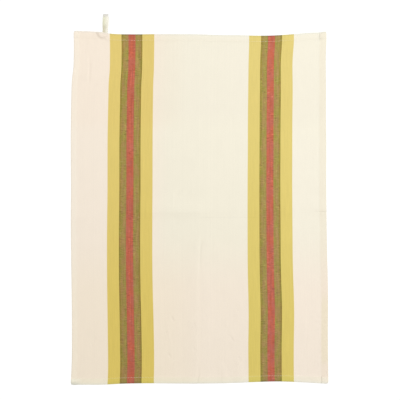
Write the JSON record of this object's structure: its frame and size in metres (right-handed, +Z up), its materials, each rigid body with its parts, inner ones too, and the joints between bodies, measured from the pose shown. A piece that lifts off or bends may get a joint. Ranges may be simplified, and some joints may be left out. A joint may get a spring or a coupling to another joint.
{
  "type": "tea towel",
  "caption": "Flat rectangular cotton tea towel with groups of woven stripes down its length, narrow hems all round and a small tape hanging loop near a corner.",
  "frame": {"origin": "on the surface it lies on, under the middle of the towel with its loop", "axes": "+X to the towel's right, +Y to its head where the loop is, +Z up off the surface"},
  "size_m": [0.5152, 0.7412, 0.0079],
  "materials": {
    "cloth": "plain-woven cotton, cream with yellow, olive and coral stripes",
    "tape": "narrow woven cotton tape, undyed"
  },
  "bodies": {
    "root": {"towel_cloth": "cloth", "hanging_loop": "tape"}
  },
  "joints": []
}
